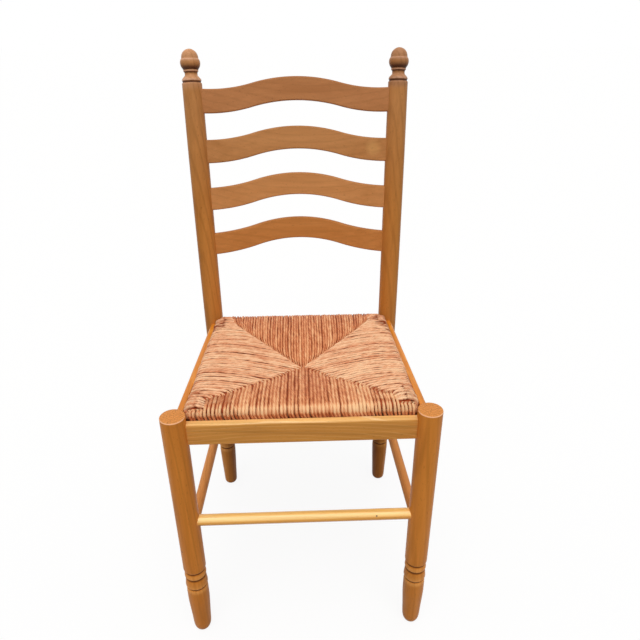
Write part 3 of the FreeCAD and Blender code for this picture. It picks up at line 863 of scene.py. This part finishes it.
def pad_corner(index):
    """Corner of the pad's outline in plan."""
    before = along(index - 1)
    after = along(index)
    start = SEAT_CORNERS[index % 4] + inward(index - 1) * PAD_INSET
    other = SEAT_CORNERS[index % 4] + inward(index) * PAD_INSET
    gap = other - start
    reach = (gap.x * after.y - gap.y * after.x) / (before.x * after.y - before.y * after.x)
    return start + before * reach


PAD = [pad_corner(index) for index in range(4)]
MIDDLE_DEPTH = [(PAD_MIDDLE - PAD[side]).dot(inward(side)) for side in range(4)]

# Legs and posts beside the weave: place and radius of each
post_at_crest = post_axis(1)(PAD_CREST)[0]
UPRIGHTS = [
    (x * sign, y, radius)
    for x, y, radius in ((LEG_X, FRONT_Y, LEG_RADIUS), (post_at_crest.x, post_at_crest.y, POST_RADIUS))
    for sign in (1, -1)
]


def pad_depth(place):
    """How far in from the pad's edge a place lies, measured as at the front."""
    shares = [(place - PAD[side]).dot(inward(side)) / MIDDLE_DEPTH[side] for side in range(4)]
    return min(shares) * MIDDLE_DEPTH[0]


def roll_height(crest, depth, start=0.0):
    """Height on the round of the seat's edge, from its start at the shoulder up to a crest."""
    share = max(0.0, 1 - (depth - start) / (PAD_ROLL - start))
    return PAD_SHOULDER + (crest - PAD_SHOULDER) * sqrt(max(0.0, 1 - share**2))


def pad_top(place):
    """Height of the pad's upper face: rolled edge, crown and the dip to the middle."""
    depth = max(pad_depth(place), 0.0)
    if depth < PAD_ROLL:
        return roll_height(PAD_CREST, depth)
    share = min(1.0, (depth - PAD_ROLL) / (MIDDLE_DEPTH[0] * 0.97 - PAD_ROLL))
    swell = PAD_SWELL * sin(pi * share**0.7)
    return PAD_CREST + (PAD_MIDDLE_TOP - PAD_CREST) * share + swell


def crossing(start, direction, line):
    """Distance from start along a direction to the nearest crossing with a broken line, or None."""
    best = None
    for first, last in zip(line, line[1:]):
        run = last - first
        turn = direction.x * run.y - direction.y * run.x
        if abs(turn) < 1e-12:
            continue
        gap = first - start
        reach = (gap.x * run.y - gap.y * run.x) / turn
        share = (gap.x * direction.y - gap.y * direction.x) / turn
        if reach > 0 and -1e-9 <= share <= 1 + 1e-9 and (best is None or reach < best):
            best = reach
    return best


def flat(points, middle=0.0, side=1):
    """Places in plan, each beside a middle: to its right or, where side is -1, to its left."""
    return [Vector((middle + x * side, y, 0)) for x, y in points]


def panel_line(side):
    """Broken line on which the strands of one side's panel end."""
    front_left = flat(LAP_LEFT) + flat(FRONT_MITRE, WEAVE_MIDDLE.x, -1)
    front_right = flat(LAP_RIGHT) + flat(FRONT_MITRE, WEAVE_MIDDLE.x)
    back_left = flat(BACK_MITRE, WEAVE_MIDDLE.x, -1)
    back_right = flat(BACK_MITRE, WEAVE_MIDDLE.x)
    if side == 0:
        return [*front_left, WEAVE_MIDDLE, *front_right[::-1]]
    if side == 2:
        return [*back_left[::-1], WEAVE_MIDDLE, *back_right]
    front = front_right[3:] if side == 1 else front_left[2:]
    back = back_right if side == 1 else back_left
    before = front[0] + Vector((0, -0.001, 0))
    beyond = back[-1] + Vector((0, 0.02, 0))
    return [before, *front, WEAVE_MIDDLE, *back, beyond]


def strand_height(place, depth):
    """Height of a strand's middle at a place, when it has come a depth in from its own edge."""
    height = pad_top(place) - STRAND_HALF_HEIGHT
    if depth < PAD_ROLL:
        height = min(height, roll_height(PAD_CREST - STRAND_HALF_HEIGHT, depth, STRAND_HALF_HEIGHT))
    return height


def strand_path(
    edge, direction, reach, drift, swing, turn, sink, lift, hook=None, slant=0.0, sheen=0.0, ground=0.0
):
    """One turn of rush round a seat rail: under the seat, up its edge, over the roll and in to the mitre.

    drift moves the strand sideways on its way in, swing only near its end, where it dives over a
    length of turn, sink deep, and hook bends its tip. lift is how high it lies over its
    neighbours, slant how far it leans on the outer face, ground how pale it is and sheen how
    much painted highlight it gets on the roll. Gives places with how much paler the strand is there,
    with painted shade under the seat and on the outer face, and how pinched.
    """
    half = STRAND_HALF_HEIGHT
    across = Vector((-direction.y, direction.x, 0))
    path = []

    def aside(depth):
        return drift * (depth / reach) ** 2.2 + swing * exp((depth - reach) / SWING_REACH)

    def put(depth, sideways, height, paler, pinch=0.0):
        place = edge + direction * depth + across * sideways
        path.append((Vector((place.x, place.y, height)), paler, pinch))

    def height_at(depth):
        return strand_height(edge + direction * depth + across * aside(depth), depth)

    under = max(PAD_ROLL, min(reach, STRAND_UNDER))
    # Under the seat and up the outer face the strands carry painted shade
    for share in (1.0, 0.75, 0.5, 0.25, 0.0):
        put(PAD_HEEL + (under - PAD_HEEL) * share, -slant * HEEL_SLANT, PAD_BOTTOM + half, UNDER_PAINTED_SHADE)
    heel = PAD_BOTTOM + PAD_HEEL * 0.35 + half * 0.5
    put(PAD_HEEL * 0.45, -slant * (HEEL_SLANT - 0.001), heel, UNDER_PAINTED_SHADE)
    for height in EDGE_HEIGHTS:
        put(half * 1.05, -slant * (PAD_SHOULDER - height), height, 0.4 * ground + EDGE_PAINTED_SHADE, 0.15)
    depths = [half + (PAD_ROLL - half) * (1 - cosine) for _, cosine in quarter(6, 1)]
    straight = reach - min(turn, reach * 0.5)
    while depths[-1] + STRAND_STEP < straight:
        depths.append(depths[-1] + STRAND_STEP)
    for depth in depths:
        if depth < straight:
            # Painted highlight where the strand comes over the roll
            on_roll = max(0.0, 1 - abs(depth - ROLL_MIDDLE) / ROLL_SPREAD)
            put(depth, aside(depth), height_at(depth) + lift, ground + sheen * on_roll, 0.1 * on_roll)
    for index, (sine, cosine) in enumerate(quarter(TIP_STEPS)):
        share = index / TIP_STEPS
        depth = straight + (reach - straight) * sine
        height = height_at(depth) + lift * (1 - share) - sink * share**2
        put(depth, aside(depth), height, ground + TIP_PALENESS * share, share ** (PINCH_REACH / turn))
        if hook:
            path[-1][0].xyz += hook * (1 - cosine)
    return path


def strand_mesh(points, faces, marks, path, chance, width, wander, unrest=1.0, bare=-1.0):
    """Adds one strand's tube round its path, swelling, thinning and swaying like twisted reed.

    wander is how far it sways and unrest how lumpy it is. bare keeps its flanks free of the painted
    shade of the gaps where it comes over the roll.
    """
    faces.extend(tube_faces(len(path), STRAND_SIDES, len(points)))
    length = 0.0
    offset = chance * 50
    places = [place for place, _, _ in path]
    sideways = (places[-1] - places[0]).cross(Vector((0, 0, 1))).normalized()

    def waver(scale, row):
        return noise.noise(Vector((length * scale, offset, row)))

    for number, (place, paler, pinch) in enumerate(path):
        run = (places[min(number + 1, len(places) - 1)] - places[max(number - 1, 0)]).normalized()
        if number:
            length += (place - places[number - 1]).length
        side = (sideways - run * sideways.dot(run)).normalized()
        up = side.cross(run)
        lump = unrest * waver(60, 0.0)
        sway = waver(22, 7.0) + 0.6 * waver(65, 9.0)
        twist = sin(length * 520 + offset)
        half_width = width * (1 + 0.28 * lump + 0.05 * twist) * (1 - PINCH_SHARE * pinch**1.2)
        half_height = STRAND_HALF_HEIGHT * (1 + 0.20 * lump - 0.06 * twist)
        centre = place + side * (wander * sway) + up * (HEAVE * unrest * waver(32, 13.0))
        for index in range(STRAND_SIDES):
            angle = 2 * pi * index / STRAND_SIDES
            outward = side * (half_width * cos(angle)) + up * (half_height * sin(angle))
            points.append(centre + outward)
            lift = max(sin(angle) - 0.08 * pinch, bare if number < ROLL_RINGS else -1.0)
            marks.append((length + chance * 9.0, cos(angle), lift, chance, paler))


def mark(mesh, marks):
    """Stores each point's length along its strand, place round it, chance number and paleness, which also
    carries painted highlight and painted shade.
    """
    place = mesh.attributes.new("strand", "FLOAT_VECTOR", "POINT")
    place.data.foreach_set("vector", [value for entry in marks for value in entry[:3]])
    for name, index in (("chance", 3), ("paler", 4)):
        own = mesh.attributes.new(name, "FLOAT", "POINT")
        own.data.foreach_set("value", [entry[index] for entry in marks])


def drift_of(side, edge):
    """How far a strand moves sideways on its way in, to its left."""
    if side in (1, 3):
        sag = SIDE_SAG * sin(pi * clamp((edge.y - PAD[0].y) / SAG_LENGTH))
        return sag if side == 1 else -sag
    drift = FACE_DRIFT * (edge.x - WEAVE_MIDDLE.x)
    return drift if side == 0 else -drift


def hook_of(side, edge):
    """How a strand's end bends where the next panel's strands take it in."""
    if side == 0:
        return Vector((copysign(FRONT_HOOK, edge.x - WEAVE_MIDDLE.x), 0, 0))
    return None if side == 2 else Vector((0, -SIDE_HOOK, 0))


def side_lay(side, edge, rise, width):
    """How a strand of a side panel lies: what its reach gains, and settings of its path and mesh.

    In the front corners it lies high and straight over the front strands' ends.
    """
    front_end, back_end = SIDE_BARE_ENDS
    bare = -1.0 if front_end <= edge.y <= back_end else SIDE_BARE
    if edge.y < FRONT_MITRE[0][1]:
        path = {"turn": SIDE_TURN, "sink": CORNER_SINK, "lift": CORNER_LIFT, "ground": 0.09}
        return 0.0, path, {"width": width * 1.12, "wander": 0.0003, "unrest": 0.3, "bare": bare}
    shorter = SHORT_IN_FRONT if edge.y < WEAVE_MIDDLE.y else -LONG_BEHIND
    path = {"turn": SIDE_TURN, "sink": SIDE_SINK, "lift": rise * 2, "hook": hook_of(side, edge)}
    return -(shorter + random.uniform(*SIDE_SHORT)), path, {"width": width, "wander": 0.0013, "bare": bare}


def face_lay(side, edge, rise, width):
    """The same for a strand of the front or back panel, whose tip lies over its mitre.

    At both ends of the front it is paler and goes under the side strands.
    """
    path = {"lift": rise, "hook": hook_of(side, edge)}
    mesh = {"width": width * 1.05, "wander": 0.0007}
    if side == 2:
        path.update(turn=BACK_TURN, sink=TIP_SINK, ground=-0.05)
        return random.uniform(*TIP_OVER) * 0.6, path, mesh
    away = abs(edge.x)
    under_lap = away > LAP_START
    over = 0.0 if under_lap else random.uniform(*TIP_OVER)
    paleness = RIGHT_PALENESS if edge.x > 0 else LEFT_PALENESS
    ground = paleness * max(0.0, (away - 0.075) / 0.09)
    slant = STRAND_SLANT * clamp((0.165 - edge.x) / 0.03)
    sink = LAP_SINK if under_lap else TIP_SINK
    path.update(turn=FRONT_TURN, sink=sink, slant=slant, sheen=FRONT_ROLL_PAINTED_SHEEN, ground=ground)
    mesh["bare"] = FACE_BARE if away > FACE_BARE_START else -1.0
    return over, path, mesh


def forward_share(place):
    """0 in the back half of the seat, growing to 1 at its front."""
    return clamp((-0.06 - place.y) / 0.11)


def blocked(edge, direction):
    """Whether a strand there would run into a leg or a post."""
    for x, y, radius in UPRIGHTS:
        for depth in (0.002, 0.008, 0.016):
            place = edge + direction * depth
            if hypot(place.x - x, place.y - y) < radius + LEG_CLEARANCE:
                return True
    return False


def strand_start(side, edge, direction):
    """Outer place of a strand, moved in on the sides and behind a leg; None where it would run into one."""
    if side in (0, 2):
        return None if blocked(edge, direction) else edge
    edge = edge + direction * (SIDE_INSET + 0.0030 * forward_share(edge))
    for _ in range(20):
        if not blocked(edge, direction):
            return edge
        edge = edge + direction * 0.001
    return None


def weave_panel(name, side, material):
    """All strands of one panel of the seat as one piece."""
    first = PAD[side]
    last = PAD[(side + 1) % 4]
    pitch = STRAND_PITCH * (BACK_PITCH if side == 2 else 1.0)
    count = round((last - first).length / pitch)
    direction = Vector(((0, 1, 0), (-1, 0, 0), (0, -1, 0), (1, 0, 0))[side])
    across = Vector((-direction.y, direction.x, 0))
    line = panel_line(side)
    lay = side_lay if side in (1, 3) else face_lay
    points = []
    faces = []
    marks = []
    for index in range(count):
        share = (index + 0.5 + random.uniform(*SPACING_SPREAD)) / count
        edge = strand_start(side, first.lerp(last, share), direction)
        chance = random.random()
        width = STRAND_HALF_WIDTH * random.uniform(*WIDTH_SPREAD) * pitch / STRAND_PITCH
        rise = random.uniform(*RISE_SPREAD)
        if edge is None:
            continue
        drift = drift_of(side, edge)
        swing = BACK_SWING * clamp((WEAVE_MIDDLE.x - edge.x) / 0.02, -1.0) if side == 2 else 0.0
        reach = crossing(edge + across * (drift + swing) - direction * 0.001, direction, line)
        if reach is None:
            continue
        more, run, body = lay(side, edge, rise, width)
        path = strand_path(edge, direction, reach + more, drift, swing, **run)
        strand_mesh(points, faces, marks, path, chance, **body)
    made = mesh_object(name, points, faces, [material])
    mark(made.data, marks)
    return made


def keep_clear(place):
    """The place moved out of the room that the legs and posts need."""
    for x, y, radius in UPRIGHTS:
        gap = Vector((place.x - x, place.y - y, 0))
        room = radius + LEG_CLEARANCE + CORE_CLEARANCE
        if gap.length < room:
            place = Vector((x, y, place.z)) + gap.normalized() * room
    return place


def core_levels():
    """Depth and height of the core's rings, up its edge, over the roll and in to the middle."""
    shoulder = PAD_SHOULDER - 0.002
    levels = [
        (PAD_HEEL + CORE_INSET + 0.006, PAD_BOTTOM + 0.002),
        (CORE_INSET, PAD_BOTTOM + 0.006),
        (CORE_INSET, shoulder),
    ]
    for sine, cosine in quarter(4, 1):
        depth = CORE_INSET + (PAD_ROLL - CORE_INSET) * (1 - cosine)
        levels.append((depth, shoulder + (PAD_CREST - CORE_DEPTH - shoulder) * sine))
    for index in range(1, CORE_STEPS + 1):
        depth = PAD_ROLL + (MIDDLE_DEPTH[0] * 0.985 - PAD_ROLL) * index / CORE_STEPS
        place = PAD_MIDDLE + Vector((0, depth - MIDDLE_DEPTH[0], 0))
        levels.append((depth, pad_top(place) - CORE_DEPTH))
    return levels


def rush_core(material):
    """Packed rush just under the strands, seen only in the gaps between them and coloured with their painted
    shade.
    """
    points = []
    levels = core_levels()
    for depth, height in levels:
        share = 1 - depth / MIDDLE_DEPTH[0]
        for side in range(4):
            for step in range(CORE_PARTS):
                edge = PAD[side].lerp(PAD[(side + 1) % 4], step / CORE_PARTS)
                place = PAD_MIDDLE + (edge - PAD_MIDDLE) * share
                place.z = height
                place.x *= 1 - 0.024 * forward_share(place)
                points.append(keep_clear(place))
    made = mesh_object("rush_core", points, tube_faces(len(levels), 4 * CORE_PARTS), [material])
    mark(made.data, [(point.x + point.y, 0.0, 0.2, 0.3, 0.0) for point in points])
    return made


def dress_cad(node, material):
    """Gives a CAD node its material and smooth faces."""
    piece = nodes[node]
    piece.data.materials.clear()
    piece.data.materials.append(material)
    weld = piece.modifiers.new("weld", "WELD")
    weld.merge_threshold = 0.00002
    piece.data.polygons.foreach_set("use_smooth", [True] * len(piece.data.polygons))
    piece.data.set_sharp_from_angle(angle=CAD_SHARP)


def dress_frame():
    """Turned legs and posts, slats and rails, each with its own stretch of wood."""
    for index, (label, side) in enumerate((("left", -1), ("right", 1))):
        # Painted shade on the inner sides below a height
        fades = [("inner", side, FOOT_SHADE_BELOW, INNER_FOOT_SHADE[index])]
        leg_wood = wood("leg_wood_" + label, *HONEY, Z, 1 + index, fades=fades, spots=LEG_SPOTS)
        leg_end = end_grain("leg_end_" + label, *LEG_END, (-0.21 * side, 0.17, 0))
        front_leg("turned_front_leg_" + label, side, [leg_wood, leg_end])
        # Painted sheen on the upper post, a tint for each finial, and below the seat the left post lighter
        # and the right one darker as painted shade
        fades = [UPPER_POST_PAINTED_SHEEN, FINIAL_TINTS[index], LOW_POST_TONE_AND_SHADE[index]]
        fades.append(("inner", side, POST_SHADE_BELOW, INNER_POST_SHADE))
        post_wood = wood("post_wood_" + label, *POST_TONE, Z, 3 + index, fades=fades, spots=POST_SPOTS)
        back_post("turned_back_post_" + label, side, [post_wood])
    for index, height in enumerate(SLAT_HEIGHTS):
        number = str(index + 1)
        # Painted shade on the slats' top edges
        looks = {"fades": [SLAT_TOP_PAINTED_SHADE], "spots": SLAT_SPOTS, "contrast": 0.55}
        slat_wood = wood("slat_wood_" + number, *SLAT_TONES[index], X, 5 + index, **looks)
        slat("slat_" + number, height, [slat_wood])
    for side, label in enumerate(SIDE_NAMES):
        axis, arch = (Y, SIDE_ARCH) if side in (1, 3) else (X, FACE_ARCH)
        # Painted highlight on the front rail's top, painted shade on the side rails' tops
        looks = {"fades": [FRONT_RAIL_PAINTED_HIGHLIGHT if side == 0 else SIDE_RAIL_TOP_PAINTED_SHADE], "contrast": 1.1, "arch": arch}
        rail_wood = wood("rail_wood_" + label, *RAIL_TONE, axis, 10 + side, 0.25, 0.25, **looks)
        rail("rail_" + label, side, [rail_wood])


def mirrored(point):
    """The same place on the other side of the chair."""
    return Vector((-point.x, point.y, point.z))


def dress_rungs():
    """Round rungs; the front one is lighter, with a painted highlight along its crest and painted shade on
    its top.
    """
    front = Vector((LEG_X, FRONT_Y, FRONT_RUNG_Z))
    back = post_axis(1)(BACK_RUNG_Z)[0]
    side_ends = Vector((LEG_X, FRONT_Y, SIDE_RUNG_FRONT_Z)), post_axis(1)(SIDE_RUNG_BACK_Z)[0]
    # The front rung's gloss, its painted highlight and painted shade, and its speck
    gloss_and_painted_light = {
        "shine": 0.25, "coat": 0.40, "coat_ior": 1.8,
        "fades": [RUNG_PAINTED_HIGHLIGHT, RUNG_TOP_PAINTED_SHADE], "spots": RUNG_SPOTS,
    }
    rungs = [
        ("front", (mirrored(front), front), LEG_RADIUS, FRONT_RUNG_RADIUS, X, FRONT_RUNG_TONE),
        ("back", (mirrored(back), back), POST_RADIUS, SIDE_RUNG_RADIUS, X, RUNG_TONE),
        ("right", side_ends, LEG_RADIUS, SIDE_RUNG_RADIUS, Y, RUNG_TONE),
        ("left", map(mirrored, side_ends), LEG_RADIUS, SIDE_RUNG_RADIUS, Y, RUNG_TONE),
    ]
    for index, (label, ends, inside, radius, axis, tone) in enumerate(rungs):
        looks = gloss_and_painted_light if label == "front" else {}
        rung_wood = wood("rung_wood_" + label, *tone, axis, 14 + index, **looks)
        rung("stretcher_" + label, *ends, inside, radius, [rung_wood])


def dress_hidden():
    """Dark wood of the loose frame, a guessed colour kept dark as painted shade where it shows between the
    strands and paler at its top; bare wood of the blocks; and the packing inside the weave.
    """
    packing = rush("rush_packing", 0.52, 0.3, 0.8, GAP_SHADE_BRICK)
    for index, label in enumerate(SIDE_NAMES):
        axis = Y if label in ("left", "right") else X
        looks = {"shine": 0.7, "coat": 0.0, "fades": [FRAME_TOP]}
        frame_wood = wood("frame_wood_" + label, *FRAME_TONE, axis, 18 + index, **looks)
        dress_cad("seat_frame_" + label, frame_wood)
        dress_cad("rush_stuffing_" + label, packing)
    for index, label in enumerate(("front_left", "front_right", "back_right", "back_left")):
        block_wood = wood("block_wood_" + label, *RAW_TONE, X, 22 + index, shine=0.7, coat=0.0)
        dress_cad("corner_block_" + label, block_wood)


def dress_seat():
    """Four woven panels over a core, in place of the plain pad."""
    # The side panels take a lighter copy of the rush and the front and back panels a darker one: painted
    # light for how light falls along and across the strands
    side_rush = rush("rush_side", 0.57, 0.28, 0.0, GAP_SHADE_DARK, 0.14, unbroken=0.30, cast=(1.03, 1.0, 1.02))
    face_rush = rush("rush_face", 0.29, 0.33, 0.46, GAP_SHADE_BRICK, 0.30, cast=(1.0, 0.90, 0.81))
    # The core shows only in the gaps and takes their painted shade
    core_rush = rush("rush_core", 0.0, 0.2, 0.0, GAP_SHADE_DEEP, unbroken=0.95)
    pieces = [
        weave_panel("rush_front", 0, face_rush),
        weave_panel("rush_right", 1, side_rush),
        weave_panel("rush_back", 2, face_rush),
        weave_panel("rush_left", 3, side_rush),
        rush_core(core_rush),
    ]
    for piece in pieces:
        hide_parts("rush_weave")
        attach(piece, "seat")


def background_rays(tree):
    """1 for rays that show the background: to the camera, in gloss and through clear pieces."""
    rays = add(tree, "LightPath").outputs
    seen = maths(tree, "MAXIMUM", rays["Is Camera Ray"], rays["Is Glossy Ray"])
    return maths(tree, "MAXIMUM", seen, rays["Is Transmission Ray"])


def floor():
    """Pale floor that shows white, keeps the chair's shadow and throws little light up."""
    corners = [(x * FLOOR_HALF, y * FLOOR_HALF, 0) for x, y in ((-1, -1), (1, -1), (1, 1), (-1, 1))]
    ground = mesh_object("floor", corners, [(0, 1, 2, 3)], [])
    material, tree, shader = new_material("floor_white")
    shown = background_rays(tree)
    set_inputs(tree, shader, {
        "Base Color": mixed(tree, shown, (FLOOR_BOUNCE,) * 3, (FLOOR_WHITE,) * 3),
        "Emission Strength": maths(tree, "MULTIPLY", shown, 1.0 - FLOOR_WHITE),
        "Emission Color": (1, 1, 1, 1),
        "Roughness": 1.0,
        "Specular IOR Level": 0.0,
    })
    ground.data.materials.append(material)


def lights():
    """Sky that is brighter overhead than at the horizon, and one very soft high sun in front."""
    world = bpy.data.worlds.new("sky")
    bpy.context.scene.world = world
    world.use_nodes = True
    tree = world.node_tree
    background = tree.nodes["Background"]
    direction = add(tree, "TexCoord").outputs["Generated"]
    sky = fit(tree, part_of(tree, direction, "Z"), 0.0, 1.0, SKY_LOW, SKY_HIGH)
    strength = add(tree, "Mix", data_type="FLOAT")
    for index, value in ((0, background_rays(tree)), (2, sky), (3, 1.0)):
        connect(tree, value, strength.inputs[index])
    set_inputs(tree, background, {"Color": (1, 1, 1, 1), "Strength": strength.outputs[0]})
    sun = bpy.data.lights.new("sun", "SUN")
    sun.energy = SUN_ENERGY
    sun.angle = SUN_ANGLE
    sun.color = SUN_COLOUR
    lamp = bpy.data.objects.new("sun", sun)
    bpy.context.scene.collection.objects.link(lamp)
    lamp.rotation_euler = Vector(SUN_FROM).to_track_quat("Z", "Y").to_euler()


def camera():
    """Camera at the photograph's place, turned as fitted."""
    data = bpy.data.cameras.new("camera")
    data.sensor_width = 36
    data.lens = CAMERA_LENS
    data.clip_end = 200
    made = bpy.data.objects.new("camera", data)
    bpy.context.scene.collection.objects.link(made)
    level = Vector((sin(CAMERA_YAW), cos(CAMERA_YAW), 0))
    forward = level * cos(CAMERA_PITCH) - Vector((0, 0, sin(CAMERA_PITCH)))
    right = Vector((level.y, -level.x, 0))
    down = forward.cross(right)
    turned_right = right * cos(CAMERA_ROLL) + down * sin(CAMERA_ROLL)
    turned_down = down * cos(CAMERA_ROLL) - right * sin(CAMERA_ROLL)
    turned = Matrix((turned_right, -turned_down, -forward)).transposed()
    made.matrix_world = Matrix.Translation(CAMERA_PLACE) @ turned.to_4x4()
    bpy.context.scene.camera = made


dress_frame()
dress_rungs()
dress_hidden()
dress_seat()
floor()
lights()
camera()
bpy.context.scene.view_settings.view_transform = "Standard"
